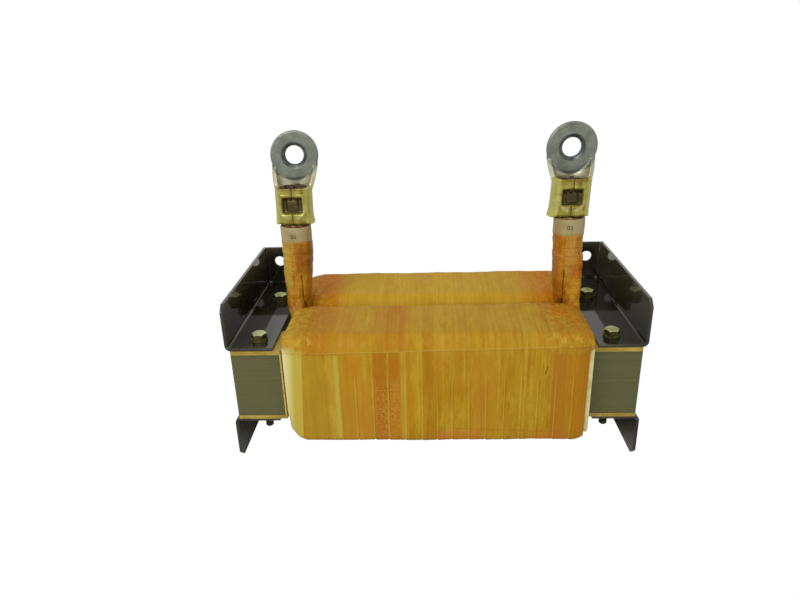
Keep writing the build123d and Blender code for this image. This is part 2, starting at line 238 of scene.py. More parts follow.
def lamination_look():
    """Cut edges of the core's sheets: hairlines across Z under a thin olive varnish."""
    look = Look("core_laminations")
    sheets = look.grain(1.0, (20, 20, 2900), 1.0)
    streaks = look.grain(1.0, (7, 7, 260), 2.0)
    blotch = look.grain(42.0, detail=4.0)
    color = look.two_tone(sheets, 0.3, 0.7, (84, 82, 48), (92, 90, 54))
    color = look.layer(color, (116, 112, 80), 0.25, streaks, 0.5, 0.8)
    color = look.layer(color, (88, 76, 38), 0.3, blotch, 0.5, 0.75)
    edge = look.span(look.apart(look.z), 0.0225, 0.0257)
    color = look.tint(color, (70, 66, 42), edge, 0.4)
    return look.finish(color, 0.5, 0.0, look.bump(sheets, 0.00002), specular=0.25)


def sheet_look():
    """Golden insulating laminate, speckled with darker varnish."""
    look = Look("insulation_sheet")
    fibre = look.grain(420.0, detail=3.0)
    blotch = look.grain(75.0, detail=3.0)
    color = look.two_tone(blotch, 0.35, 0.7, (156, 128, 40), (176, 150, 66))
    color = look.layer(color, (118, 84, 24), 0.55, fibre, 0.5, 0.75)
    return look.finish(color, 0.42, 0.0, look.bump(fibre, 0.00008), 0.1, 0.25, 0.3)


def cream_look():
    """Cream laminate of the collars and gap plates, yellowed by varnish in places."""
    look = Look("cream_laminate")
    fibre = look.grain(1.0, (300, 500, 900), 3.0)
    blotch = look.grain(70.0, detail=3.0)
    color = look.two_tone(blotch, 0.35, 0.7, (206, 198, 146), (184, 172, 100))
    color = look.layer(color, (160, 140, 70), 0.35, fibre, 0.55, 0.8)
    return look.finish(color, 0.5, 0.0, look.bump(fibre, 0.00006), 0.05, 0.3, 0.3)


def bracket_look():
    """Gloss dark olive paint with fine dust, and lighter on the sharp edges, partly thin paint and partly a
    painted edge highlight.
    """
    look = Look("bracket_paint")
    dust = look.grain(1100.0, detail=4.0, rough=0.7)
    cloud = look.grain(30.0, detail=3.0)
    color = look.two_tone(cloud, 0.35, 0.7, (28, 26, 17), (36, 33, 22))
    color = look.layer(color, (120, 116, 90), 0.06, dust, 0.62, 0.8)
    geometry = look.tree.nodes.new("ShaderNodeNewGeometry")
    # Lighter on sharp edges: partly thin paint, partly a painted edge highlight.
    edge = look.span(geometry.outputs["Pointiness"], 0.53, 0.6)
    color = look.tint(color, (112, 108, 80), edge, 0.6)
    return look.finish(color, look.span(cloud, 0.3, 0.75, 0.045, 0.08), specular=0.45)


def facing(look, axis):
    """The part of a surface's own direction that points along an axis of the model."""
    geometry = look.tree.nodes.new("ShaderNodeTexCoord")
    parts = look.tree.nodes.new("ShaderNodeSeparateXYZ")
    look.tree.links.new(geometry.outputs["Normal"], parts.inputs[0])
    return parts.outputs[axis]


def gap_look():
    """A gap plate's edge: yellowed cream between dark glue lines."""
    look = Look("gap_plate")
    fibre = look.grain(1.0, (300, 500, 900), 3.0)
    color = look.two_tone(fibre, 0.35, 0.7, (200, 172, 84), (176, 144, 58))
    off = look.apart(look.apart(look.x), 0.1133)
    color = look.tint(color, (74, 60, 24), look.span(off, 0.0004, 0.0008))
    return look.finish(color, 0.5, 0.0, look.bump(fibre, 0.00006), specular=0.3)


def washer_look():
    """Darker zinc of the washers."""
    look = Look("zinc_washers")
    cloud = look.grain(180.0, detail=3.0)
    color = look.two_tone(cloud, 0.35, 0.65, (96, 92, 48), (66, 60, 30))
    return look.finish(color, 0.4, 0.4, look.bump(look.grain(1800.0), 0.00003), specular=0.4)


def zinc_look():
    """Yellow zinc: pale green tops and dark flanks by which way the surface faces, a painted highlight and
    painted shade; the threads' turns below.
    """
    look = Look("zinc_fasteners")
    cloud = look.grain(180.0, detail=3.0)
    fine = look.grain(1800.0, detail=3.0)
    # Lit and shaded copies of the zinc by the surface's direction: the pale tops are a painted highlight,
    # the dark flanks painted shade.
    top = look.two_tone(cloud, 0.35, 0.65, (188, 192, 132), (150, 152, 92))
    shaded_flank = look.two_tone(cloud, 0.35, 0.65, (74, 68, 34), (46, 42, 22))
    color = look.blend(look.span(facing(look, 2), 0.45, 0.8), shaded_flank, top)
    color = look.layer(color, (84, 74, 38), 0.35, fine, 0.55, 0.8)
    shank = look.span(look.z, -0.0364, -0.0368)
    thread = look.times(look.math("SINE", look.times(look.z, 2 * math.pi / 0.001)), shank)
    height = look.bump(thread, 0.00035, look.bump(fine, 0.00003))
    return look.finish(color, look.span(cloud, 0.3, 0.7, 0.3, 0.45), 0.35, height, specular=0.4)


TAPE_RIB = 0.0031
LEAD_WRAP = 6.6
CRIMP_RISE = 14.9
DENT = 0.0098
FRONT_ZONES = (
    ((166, 132, 36), 0.7, (-97, -78), (-38, 33), 0.0012),
    ((182, 154, 56), 0.6, (-77, -68), (-38, 33), 0.0014),
    ((176, 170, 70), 0.6, (-71.4, -68.4), (-36, 33), 0.0009),
    ((176, 128, 34), 0.7, (-67, -54), (-38, 46), 0.0012),
    ((178, 116, 20), 0.8, (-61, -54), (10, 30), 0.0030),
    ((174, 116, 30), 0.6, (-54, -45), (-38, 12), 0.0022),
    ((158, 98, 16), 0.9, (-43.8, -34.4), (-42, 36), 0.0010),
    ((166, 104, 20), 0.85, (-32.6, -24.6), (-42, 32), 0.0010),
    ((176, 102, 12), 0.6, (-33, -24), (14, 28), 0.0035),
    ((180, 146, 48), 0.6, (-23.9, -19.6), (-38, 20), 0.0011),
    ((186, 120, 26), 0.8, (-18.6, -15.6), (-28, 4), 0.0015),
    ((174, 114, 28), 0.5, (0, 7), (10, 36), 0.0040),
    ((172, 122, 30), 0.6, (28, 44), (-38, 34), 0.0040),
    ((162, 104, 22), 0.8, (83, 97), (-40, 34), 0.0014),
    ((166, 106, 16), 0.8, (97, 110), (-40, 34), 0.0015),
    ((176, 104, 22), 0.9, (-97, -60), (-46, -37.5), 0.0008),
    ((180, 112, 40), 0.7, (0, 34), (-42, -30), 0.0012),
    ((180, 108, 40), 0.7, (70, 98), (-42, -32), 0.0015),
)


def tape_look(front):
    """Varnished coil tape: streaks and clouds of varnish, then what only the front or the rear coil has."""
    look = Look("coil_tape_front" if front else "coil_tape_rear")
    streak = look.grain(1.0, (420, 9, 9), 3.0)
    broad = look.grain(1.0, (95, 10, 10), 2.0)
    fine = look.grain(1.0, (1500, 40, 40), 2.0)
    cloud = look.grain(26.0, detail=3.0, shift=(0.4, 0.1, 0.2))
    pool = look.grain(60.0, (1.0, 0.5, 0.5), 4.0, (0.2, 0.5, 0.9), 0.6)
    patch = look.grain(1.0, (170, 55, 55), 3.0, (0.7, 0.2, 0.4), 0.6)
    speck = look.grain(700.0, (1.0, 0.35, 0.35), 3.0)
    ribs = look.wave(look.plus(look.x, look.times(broad, 0.003)), TAPE_RIB)
    color = look.two_tone(broad, 0.3, 0.7, (162, 120, 20), (174, 136, 30))
    color = look.layer(color, (184, 150, 48), 0.8, streak, 0.45, 0.75)
    color = look.layer(color, (170, 114, 14), 0.5, cloud, 0.5, 0.7)
    color = look.layer(color, (138, 90, 8), 0.42, fine, 0.48, 0.72)
    color = look.layer(color, (188, 150, 44), 0.5, patch, 0.5, 0.72)
    color = look.layer(color, (156, 102, 14), 0.5, patch, 0.5, 0.3)
    color = look.layer(color, (150, 92, 14), 0.35, speck, 0.56, 0.74)
    height = look.bump(look.grain(1300.0, detail=2.0), 0.00003)
    if front:
        color = front_stains(look, color, streak)
        color = lap_glints_and_shadows(look, color, cloud)
        above = look.minus(look.z, look.plus(0.0338, look.times(look.plus(look.x, 0.108), 0.018)))
        top = look.span(above, 0.0, 0.0006)
        color = top_layer(look, color, top, pool, streak, fine)
        color = creases(look, color, above)
        color = bare_end(look, color)
        height = look.bump(ribs, 0.00003, look.bump(top, 0.0002, height))
        ends = look.math("MAXIMUM", look.span(look.x, -0.070, -0.088), look.span(look.x, 0.068, 0.090))
        color, height = slack_ends(look, color, height, ends, (164, 96, 18), (204, 164, 66))
    else:
        color = look.layer(color, (146, 108, 30), 0.3, look.wave(look.x, 0.0079), 0.55, 1.0)
        color = look.tint(color, (196, 156, 44), 0.4)
        ends = look.math("MAXIMUM", look.span(look.x, -0.066, -0.088), look.span(look.x, 0.060, 0.100))
        color = look.tint(color, (182, 112, 12), ends, look.span(pool, 0.2, 0.6, 0.5, 1.0))
        height = look.bump(ribs, 0.00008, height)
        color, height = slack_ends(look, color, height, ends, (164, 94, 14), (206, 160, 60))
    height = look.bump(streak, 0.00012, height)
    return look.finish(color, look.span(cloud, 0.3, 0.7, 0.52, 0.44), normal=height, specular=0.06)


def front_stains(look, color, streak):
    """The front coil's stains, frayed along the streaks, and the coarse weave on two of them."""
    frayed = look.span(streak, 0.25, 0.6, 0.55, 1.0)
    for shade, strength, x, z, soft in FRONT_ZONES:
        color = look.zone(color, shade, strength, x, z, soft, frayed)
    stitch = look.times(look.span(look.grain(1.0, (500, 500, 900), 2.0), 0.45, 0.62), 0.75)
    return look.zone(color, (188, 132, 60), 0.8, (-43.8, -24.6), (-38, 12), 0.002, stitch)


def lap_glints_and_shadows(look, color, cloud):
    """A painted glint and a painted shadow beside each lap of the tape, below the top layer."""
    low = look.span(look.z, 0.0215, 0.0085)
    along = look.plus(look.x, look.times(look.minus(cloud, 0.5), 0.0012))
    for line in LAP_LINES:
        glint = look.band(along, (line - 0.25) * MM, (line + 0.25) * MM, 0.0003)
        shade = look.band(along, (line + 0.8) * MM, (line + 1.5) * MM, 0.0005)
        # Painted glint on each lap's edge, then painted shadow just past it.
        color = look.tint(color, (206, 176, 80), glint, low, 0.3)
        color = look.tint(color, (142, 92, 14), shade, low, 0.4)
    return color


def top_layer(look, color, top, pool, streak, fine):
    """The smoother top layer: pools, a brown and a red stain, furrows, and a darker right end."""
    color = look.layer(color, (182, 142, 44), 0.5, pool, 0.3, 0.6, top)
    brown = look.times(look.band(look.x, -0.094, -0.070, 0.004), look.span(pool, 0.3, 0.55, 0.35, 1.0))
    color = look.tint(color, (174, 116, 26), brown, top, 0.55)
    color = look.layer(color, (166, 110, 18), 0.35, streak, 0.52, 0.36, look.span(look.z, 0.036, 0.040))
    red = look.band(look.x, -0.044, -0.020, 0.003)
    color = look.layer(color, (166, 92, 14), 0.6, streak, 0.42, 0.6, red, top)
    upper = look.span(look.z, 0.036, 0.042)
    color = look.layer(color, (140, 88, 12), 0.45, look.apart(fine, 0.47), 0.03, 0.006, upper)
    mottle = look.span(pool, 0.4, 0.68)
    return look.layer(color, (180, 104, 14), 0.8, look.x, 0.080, 0.094, top, mottle)


def creases(look, color, above):
    """The top layer's edge with a painted shadow line along it and a painted glint just above, the line of
    the band below, and one scratch.
    """
    faint = look.span(look.apart(look.x, 0.005), 0.04, 0.09, 0.12, 0.4)
    # Painted shadow along the top layer's edge, then a painted glint just above it.
    color = look.tint(color, (140, 88, 18), look.band(above, -0.0004, 0.0001, 0.0003), faint)
    color = look.tint(color, (206, 172, 84), look.band(above, 0.0002, 0.0008, 0.0004), 0.35)
    level = look.minus(look.z, look.minus(-0.0268, look.times(look.x, 0.045)))
    seam = look.band(level, -0.0003, 0.0003, 0.0003)
    color = look.layer(color, (150, 98, 26), 0.55, look.x, 0.0, 0.02, seam)
    beside = look.minus(look.x, look.plus(0.0787, look.times(look.minus(look.z, 0.02), 0.25)))
    scratch = look.band(beside, -0.0003, 0.0003, 0.0002)
    tall = look.band(look.z, 0.0170, 0.0235, 0.0012)
    return look.tint(color, (92, 56, 14), scratch, tall, look.span(look.y, -0.150, -0.156))


def bare_end(look, color):
    """The left end, where the tape thins out in steps and the cream collar shows through."""
    pale = look.minus(look.x, look.times(look.minus(look.z, 0.035), 0.0658))
    under = look.span(look.z, 0.040, 0.034, 0.12, 1.0)
    steps = (
        ((180, 160, 62), -0.0931, -0.0937),
        ((200, 188, 118), -0.0985, -0.1045),
        ((214, 204, 150), -0.1035, -0.1075),
    )
    for shade, inner, outer in steps:
        color = look.tint(color, shade, look.span(pale, inner, outer), under)
    return look.zone(color, (200, 158, 36), 0.7, (-112, -103.0), (38, 60), 0.003)


def slack_ends(look, color, height, ends, fold_shade, hollow_shade):
    """The crumpled tape at the upper ends of a coil: dark folds, pale hollows and their relief."""
    wrinkle = look.grain(1.0, (230, 170, 170), 4.0, (0.1, 0.6, 0.3), 0.65)
    crumpled = look.times(ends, look.span(look.z, 0.030, 0.040))
    color = look.layer(color, fold_shade, 0.45, wrinkle, 0.46, 0.62, crumpled)
    color = look.layer(color, hollow_shade, 0.5, wrinkle, 0.44, 0.32, crumpled)
    return color, look.bump(look.times(wrinkle, crumpled), 0.0026, height)


LEAD_ZONES = {
    "left": (
        ((180, 150, 56), 0.8, (-118, -108.5), (60, 97), 0.002),
        ((136, 78, 6), 0.85, (-104, -90), (73, 95), 0.003),
        ((178, 118, 20), 0.6, (-104, -90), (40, 68), 0.004),
        ((204, 162, 84), 0.7, (-112, -103), (36, 46), 0.004),
    ),
    "right": (
        ((166, 98, 10), 0.7, (90, 97), (44, 98), 0.004),
        ((168, 66, 4), 0.8, (104, 115), (68, 77), 0.003),
        ((190, 146, 60), 0.7, (100, 108), (74, 96), 0.003),
        ((200, 148, 34), 0.8, (104, 118), (30, 66), 0.003),
    ),
}


def lead_slit_shadow(look, color, side):
    """A painted shadow in the slit in front, where a lead's two legs part."""
    if side == "left":
        slit = look.apart(look.x, -0.1008)
        reach = look.band(look.z, 0.044, 0.0725, 0.0015)
    else:
        slope = look.times(look.span(look.z, 0.062, 0.042), 0.0016)
        slit = look.apart(look.x, look.plus(0.0994, slope))
        reach = look.band(look.z, 0.038, 0.0735, 0.0015)
    front = look.span(look.y, -0.080, -0.086)
    # Painted shadow: dark where the two legs part.
    return look.layer(color, (82, 40, 6), 0.85, slit, 0.0008, 0.0002, reach, front)


def lead_look(side):
    """Varnished lead tape: thin wraps across it, orange pools of varnish, a painted shadow in the slit
    below and a neck above.
    """
    look = Look(f"lead_tape_{side}")
    cloud = look.grain(60.0, detail=3.0)
    pool = look.grain(95.0, (1.0, 1.0, 0.6), 3.0, (0.3, 0.7, 0.1))
    fine = look.grain(900.0, detail=3.0)
    streak = look.grain(1.0, (420, 420, 40), 3.0)
    crumple = look.grain(1.0, (230, 230, 120), 4.0, (0.5, 0.1, 0.8), 0.65)
    color = look.two_tone(cloud, 0.35, 0.65, (176, 116, 14), (184, 138, 36))
    color = look.layer(color, (160, 84, 4), 0.8, pool, 0.46, 0.66)
    color = look.layer(color, (148, 84, 6), 0.6, streak, 0.45, 0.68)
    color = look.layer(color, (198, 150, 44), 0.5, streak, 0.45, 0.3)
    color = look.layer(color, (132, 82, 10), 0.3, fine, 0.5, 0.8)
    for shade, strength, x, z, soft in LEAD_ZONES[side]:
        color = look.zone(color, shade, strength, x, z, soft)
    color = lead_slit_shadow(look, color, side)
    neck_start = 0.1085 if side == "left" else 0.1105
    neck = look.two_tone(look.grain(260.0, detail=3.0), 0.4, 0.65, (74, 46, 18), (150, 120, 74))
    color = look.blend(look.span(look.z, neck_start, neck_start + 0.001), color, neck)
    wrap = look.math("DIVIDE", look.plus(look.z, look.times(cloud, 0.006)), LEAD_WRAP * MM)
    wrap = look.math("FRACT", wrap)
    color = look.layer(color, (116, 62, 6), 0.45, wrap, 0.10, 0.02, look.span(look.z, 0.070, 0.074))
    foot = look.span(look.z, 0.060, 0.048)
    color = look.layer(color, (140, 74, 6), 0.6, crumple, 0.50, 0.64, foot)
    color = look.layer(color, (214, 162, 60), 0.6, crumple, 0.46, 0.34, foot)
    color = look.layer(color, (112, 60, 4), 0.35, look.apart(crumple, 0.5), 0.012, 0.002)
    height = look.bump(fine, 0.00006, look.bump(pool, 0.0007))
    height = look.bump(crumple, 0.0018, look.bump(wrap, 0.0003, height))
    return look.finish(color, look.span(pool, 0.4, 0.65, 0.5, 0.36), 0.0, height, 0.0, 0.2, 0.2)


def marker_look():
    """Pale tan sleeve, greyish and a little dirty, with varnish along its lower edge."""
    look = Look("marker_sleeve")
    cloud = look.grain(110.0, detail=3.0)
    fine = look.grain(1500.0, detail=2.0)
    color = look.two_tone(cloud, 0.35, 0.7, (164, 147, 104), (150, 131, 84))
    color = look.layer(color, (132, 110, 72), 0.25, fine, 0.55, 0.8)
    left = look.times(look.span(look.x, 0.0, -0.001), look.span(look.z, 0.1, 0.097))
    right = look.times(look.span(look.x, 0.0, 0.001), look.span(look.z, 0.1022, 0.0992))
    color = look.tint(color, (144, 122, 52), look.math("MAXIMUM", left, right), 0.75)
    return look.finish(
        color, 0.5, 0.0, look.bump(cloud, 0.0005, look.bump(fine, 0.00004)), 0.05, 0.4, 0.3,
    )


def ink_look():
    look = Look("marker_ink")
    color = look.two_tone(look.grain(1500.0), 0.4, 0.6, (52, 38, 26), (76, 58, 42))
    return look.finish(color, 0.7, specular=0.2)


def tin_look(look, cloud, stain, brushed, far):
    """The eye's grey tin, darker on the cone round its hole."""
    tin = look.two_tone(cloud, 0.35, 0.68, (128, 132, 118), (106, 110, 98))
    tin = look.layer(tin, (148, 150, 134), 0.3, brushed, 0.5, 0.8)
    tin = look.layer(tin, (86, 92, 84), 0.4, stain, 0.55, 0.75)
    cone = look.two_tone(stain, 0.4, 0.6, (58, 60, 60), (82, 86, 82))
    return look.blend(look.span(far, 0.0104, 0.0094), tin, cone)


def crimp_look(look, color, across, stain, middle):
    """The crimp in a barrel's front: a round dent with a painted reflection on its lower half, the seam
    above and below, and a dark pocket.
    """
    level = look.minus(look.z, middle)
    drop, wide = look.apart(look.z, middle), look.apart(across)
    front = look.span(look.y, -0.0870, -0.0900)
    tall, broad = look.math("DIVIDE", level, DENT), look.math("DIVIDE", across, DENT)
    dent = look.band(look.root_sum(tall, broad), 0.93, 1.05, 0.16)
    below = look.times(look.span(level, 0.0030, -0.0040, 0.2, 1.0), look.span(wide, 0.0012, 0.0026))
    # Painted reflection: a bright ring round the dent's lower half.
    dent_reflection = look.times(dent, below, look.span(stain, 0.62, 0.4, 0.45, 1.0))
    color = look.tint(color, (218, 210, 160), dent_reflection, front, 0.7)
    outside = look.span(drop, 0.0060, 0.0066)
    color = look.layer(color, (66, 48, 14), 0.85, wide, 0.0006, 0.0002, outside, front)
    pocket = look.times(look.span(wide, 0.0078, 0.0068), look.span(drop, 0.0064, 0.0056))
    pocket = look.times(pocket, look.span(look.y, -0.0945, -0.0936), front)
    return look.blend(pocket, color, look.two_tone(stain, 0.4, 0.65, (60, 50, 16), (92, 78, 28)))


def lug_look(side):
    """Tinned copper: a grey pressed eye, a neck painted lighter as a highlight with painted shade next to
    the eye, and a barrel under yellow-green varnish with painted highlights down its sides.
    """
    lug = LUGS[side]
    ring, top = lug["ring"], lug["top"]
    look = Look(f"lug_{side}")
    cloud = look.grain(120.0, detail=3.0)
    stain = look.grain(210.0, detail=4.0, shift=(0.3, 0.2, 0.6))
    brushed = look.grain(1.0, (1200, 1200, 260), 3.0)
    lean = look.times(look.minus(look.z, lug["foot"] * MM), lug["lean"])
    across = look.minus(look.x, look.plus(lean, lug["x"] * MM))
    far = look.root_sum(across, look.minus(look.z, lug["eye"] * MM))
    tin = tin_look(look, cloud, stain, brushed, far)
    # The neck's tin is painted lighter than the eye's as a highlight, with painted shade where it meets the
    # ring.
    bright = look.two_tone(cloud, 0.35, 0.65, (178, 174, 148), (158, 152, 118))
    bright = look.tint(bright, (96, 92, 66), look.span(far, (ring + 1.1) * MM, (ring + 0.5) * MM))
    varnish = look.two_tone(cloud, 0.35, 0.68, (158, 152, 56), (134, 124, 38))
    varnish = look.layer(varnish, (190, 182, 100), 0.35, brushed, 0.5, 0.8)
    varnish = look.layer(varnish, (112, 86, 22), 0.75, stain, 0.46, 0.68)
    rim = look.span(look.z, (top - 2.4) * MM, (top - 0.6) * MM)
    varnish = look.tint(varnish, (110, 72, 30), rim, look.span(stain, 0.3, 0.6, 0.2, 0.7))
    # Painted highlights down the barrel's left and right sides.
    varnish = look.layer(varnish, (196, 190, 104), 0.7, look.apart(across), 0.0085, 0.0115)
    varnish = crimp_look(look, varnish, across, stain, (lug["foot"] + CRIMP_RISE) * MM)
    color = look.blend(look.span(far, (ring + 0.7) * MM, (ring + 0.3) * MM), bright, tin)
    behind = look.math("MAXIMUM", look.plus(look.y, 0.0872), 0.0)
    level = look.plus(look.z, look.times(behind, 0.7))
    color = look.blend(look.span(level, (top + 1.6) * MM, (top + 0.4) * MM), color, varnish)
    height = look.bump(brushed, 0.00004, look.bump(cloud, 0.0005))
    return look.finish(color, look.span(cloud, 0.3, 0.7, 0.26, 0.4), 0.45, height, specular=0.5)


def strand_look():
    """Copper strands' ends under dark varnish."""
    look = Look("strands")
    cloud = look.grain(300.0, detail=3.0)
    color = look.two_tone(cloud, 0.4, 0.62, (34, 20, 8), (84, 56, 30))
    return look.finish(color, 0.45, 0.2, look.bump(cloud, 0.0003), specular=0.3)


def plain_inner_look(name, low, high, metallic=0.0):
    """Inner pieces that hardly show: two shades of one colour with a fine grain."""
    look = Look(name)
    grain = look.grain(240.0, detail=3.0)
    return look.finish(
        look.blend(look.span(grain, 0.35, 0.65), low, high), 0.5, metallic, look.bump(grain, 0.00008),
    )


# Mesh helpers

def grid_faces(rows, columns, closed=False):
    """Faces between rings of points, one ring a row; closed joins the last ring to the first."""
    faces = []
    for r in range(rows if closed else rows - 1):
        here, above = r * columns, (r + 1) % rows * columns
        for c in range(columns):
            d = (c + 1) % columns
            faces.append((here + c, here + d, above + d, above + c))
    return faces


def shade_smooth(mesh):
    mesh.polygons.foreach_set("use_smooth", [True] * len(mesh.polygons))


def wear(mesh, look):
    """Give a mesh one material in place of what it had."""
    mesh.materials.clear()
    mesh.materials.append(look)


def make_piece(name, points, faces, look, smooth=True):
    """A mesh object from points in millimetres."""
    mesh = bpy.data.meshes.new(name)
    mesh.from_pydata((np.asarray(points, float) * MM).tolist(), [], faces)
    mesh.validate()
    if smooth:
        shade_smooth(mesh)
    mesh.materials.append(look)
    return add_object(name, mesh)


def tube(rings):
    """Points and faces of a closed skin through rings of equal length, with both ends filled."""
    rows, columns = len(rings), len(rings[0])
    faces = grid_faces(rows, columns)
    faces.append(tuple(range(columns))[::-1])
    faces.append(tuple(range((rows - 1) * columns, rows * columns)))
    return np.vstack(rings), faces


def joined(parts):
    """Several lots of points and faces as one."""
    points, faces, offset = [], [], 0
    for part_points, part_faces in parts:
        points.append(part_points)
        faces += [tuple(i + offset for i in face) for face in part_faces]
        offset += len(part_points)
    return np.vstack(points), faces


def oval(low_x, high_x, low_y, high_y, z, power=2.6, count=72):
    """A level ring with rounded corners between four limits; power 2 is an ellipse and more is squarer."""
    angle = np.linspace(0, 2 * math.pi, count, endpoint=False)
    c, s = np.cos(angle), np.sin(angle)
    x = (low_x + high_x) / 2 + (high_x - low_x) / 2 * np.sign(c) * np.abs(c) ** (2 / power)
    y = (low_y + high_y) / 2 + (high_y - low_y) / 2 * np.sign(s) * np.abs(s) ** (2 / power)
    return np.column_stack([x, y, np.full(count, float(z))])


def lofted(stations, step=1.2, power=2.6, count=72):
    """Rings between stations of (z, low_x, high_x, low_y, high_y), smoothly from each to the next."""
    stations = np.array(sorted(stations), float)
    heights = np.arange(stations[0, 0], stations[-1, 0], step)
    heights = np.append(heights, stations[-1, 0])
    rings = []
    for z in heights:
        limits = [smooth_between(z, stations[:, 0], stations[:, i]) for i in range(1, 5)]
        rings.append(oval(*limits, z, power, count))
    return rings


def smooth_between(value, places, levels):
    """A level that runs smoothly through given levels at given places."""
    index = int(np.clip(np.searchsorted(places, value) - 1, 0, len(places) - 2))
    slopes = np.gradient(levels, places)
    span = places[index + 1] - places[index]
    t = (value - places[index]) / span
    return (
        (1 + 2 * t) * (1 - t) ** 2 * levels[index]
        + t * (1 - t) ** 2 * span * slopes[index]
        + t * t * (3 - 2 * t) * levels[index + 1]
        + t * t * (t - 1) * span * slopes[index + 1]
    )


def place(piece, slot, *nodes):
    """Hide the CAD nodes that a finished piece takes the place of, and let it ride on the root."""
    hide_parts(*nodes)
    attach(piece, "root")


def evaluated_mesh(made):
    """An object's mesh as it stands after its curve or modifiers are worked out."""
    graph = bpy.context.evaluated_depsgraph_get()
    graph.update()
    return bpy.data.meshes.new_from_object(made.evaluated_get(graph))


def apply_modifiers(piece):
    mesh = evaluated_mesh(piece)
    piece.modifiers.clear()
    piece.data = mesh


def vectors(mesh, kind="co"):
    """The places or normals of a mesh's vertices, a row each."""
    flat = np.zeros(len(mesh.vertices) * 3)
    mesh.vertices.foreach_get(kind, flat)
    return flat.reshape(-1, 3)


def set_vertices(mesh, points):
    """Put a mesh's vertices at points in millimetres."""
    mesh.vertices.foreach_set("co", (points * MM).ravel())
    mesh.update()


def fuse(piece, voxel, smooth_rounds):
    """One skin round all of a piece's overlapping shells, rounded a little; voxel in millimetres."""
    remesh = piece.modifiers.new("remesh", "REMESH")
    remesh.mode = "VOXEL"
    remesh.voxel_size = voxel * MM
    remesh.use_smooth_shade = True
    if smooth_rounds:
        smooth = piece.modifiers.new("smooth", "SMOOTH")
        smooth.factor = 0.5
        smooth.iterations = smooth_rounds
    look = piece.data.materials[0]
    apply_modifiers(piece)
    wear(piece.data, look)
    shade_smooth(piece.data)


def softened(node, width, look, slot):
    """A copy of a CAD node with its sharp edges rounded, in place of the node."""
    piece = add_object("soft_" + node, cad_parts[node].data.copy())
    shade_smooth(piece.data)
    weld = piece.modifiers.new("weld", "WELD")
    weld.merge_threshold = 1e-6
    flat = piece.modifiers.new("flat", "DECIMATE")
    flat.decimate_type = "DISSOLVE"
    flat.angle_limit = math.radians(1.0)
    bevel = piece.modifiers.new("bevel", "BEVEL")
    bevel.width = width * MM
    bevel.segments = 2
    bevel.limit_method = "ANGLE"
    bevel.angle_limit = math.radians(35)
    apply_modifiers(piece)
    wear(piece.data, look)
    for polygon in piece.data.polygons:
        polygon.material_index = 0
        polygon.use_smooth = max(abs(part) for part in polygon.normal) < 0.9995
    place(piece, slot, node)
    return piece


# Coils

def node_box(node):
    """A CAD node's lowest and highest corners in millimetres."""
    return np.round(np.array(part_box(node)) / MM, 3)


COIL_BOX = node_box("tape_front")
COIL_SIDES = (float(COIL_BOX[0, 0]), float(COIL_BOX[1, 0]))
COIL_HALF = (COIL_BOX[1, 1:] - COIL_BOX[0, 1:]) / 2
COIL_Z = (COIL_BOX[0, 2] + COIL_BOX[1, 2]) / 2
FORMER_BOX = node_box("former_front")
FORMER_HALF = (FORMER_BOX[1, 1:] - FORMER_BOX[0, 1:]) / 2
COLLAR_OUT = COIL_SIDES[0] - float(FORMER_BOX[0, 0])
COIL_CORNER = 12.0
LOW_CORNER = 8.5
END_RUN = 9.0
LAP_LINES = (-57.0, -44.5, -33.6, -21.3, -9.0, 2.0, 12.5, 24.7, 36.8, 49.7, 61.5, 73.2, 85.9, 98.0)


def coil_ring(inset):
    """Points round a coil's section with their outward normals, each point drawn in by its own inset."""
    half_y, half_z, top, low = COIL_HALF[0], COIL_HALF[1], COIL_CORNER, LOW_CORNER
    points, normals = [], []
    sides = (
        (half_y - top, half_z - top, 0.0, 28, top),
        (-half_y + top, half_z - top, 90.0, 44, top),
        (-half_y + low, -half_z + low, 180.0, 28, low),
        (half_y - low, -half_z + low, 270.0, 44, low),
    )
    for i, (cy, cz, start, run, corner) in enumerate(sides):
        for step in range(11):
            angle = math.radians(start + 9.0 * step)
            normals.append((math.cos(angle), math.sin(angle)))
            points.append((cy + corner * math.cos(angle), cz + corner * math.sin(angle)))
        following = sides[(i + 1) % 4]
        angle = math.radians(start + 90)
        first = points[-1]
        round_off = following[4]
        last = (following[0] + round_off * math.cos(angle), following[1] + round_off * math.sin(angle))
        for step in range(1, run):
            points.append(tuple(a + (b - a) * (step / run) for a, b in zip(first, last)))
            normals.append((math.cos(angle), math.sin(angle)))
    points, normals = np.array(points), np.array(normals)
    drawn = points - normals * np.asarray(inset(points))[:, None]
    return drawn, points, normals


def over_collar(points, end):
    """One where the tape is carried over the collar: all round the left end, and on the right end's top."""
    if end == "left":
        return np.ones(len(points))
    return np.clip((points[:, 1] - 30.0) / 4.0, 0.0, 1.0)


def coil_depth(x, ring, row):
    """How far the tape lies under the coil's outline: laps, the turns' ribs and slow unevenness."""
    around = np.arctan2(ring[:, 1], ring[:, 0])
    low = np.clip((16.0 - ring[:, 1]) / 6.0, 0.0, 1.0)
    lap = 0.0
    for line in LAP_LINES:
        gap = x - line - 0.5 * np.sin(around * 2 + line)
        lap = lap + np.exp(-((gap / 0.7) ** 2)) * 0.35 - 0.25 * np.where(gap > 0, np.exp(-gap / 6.0), 0.0)
    slow = 0.3 * np.sin(x * 0.11 + around * 3 + row) + 0.22 * np.sin(x * 0.047 - around * 5)
    dent = 0.25 * np.sin(x * 0.35 + 4 * np.sin(around * 4)) * np.clip((ring[:, 1] - 20) / 20, 0, 1)
    ribs = 0.05 * np.sin(2 * math.pi * x / 3.1)
    return 0.55 + lap * (0.25 + 0.75 * low) + slow * 0.6 + dent * 0.4 - ribs


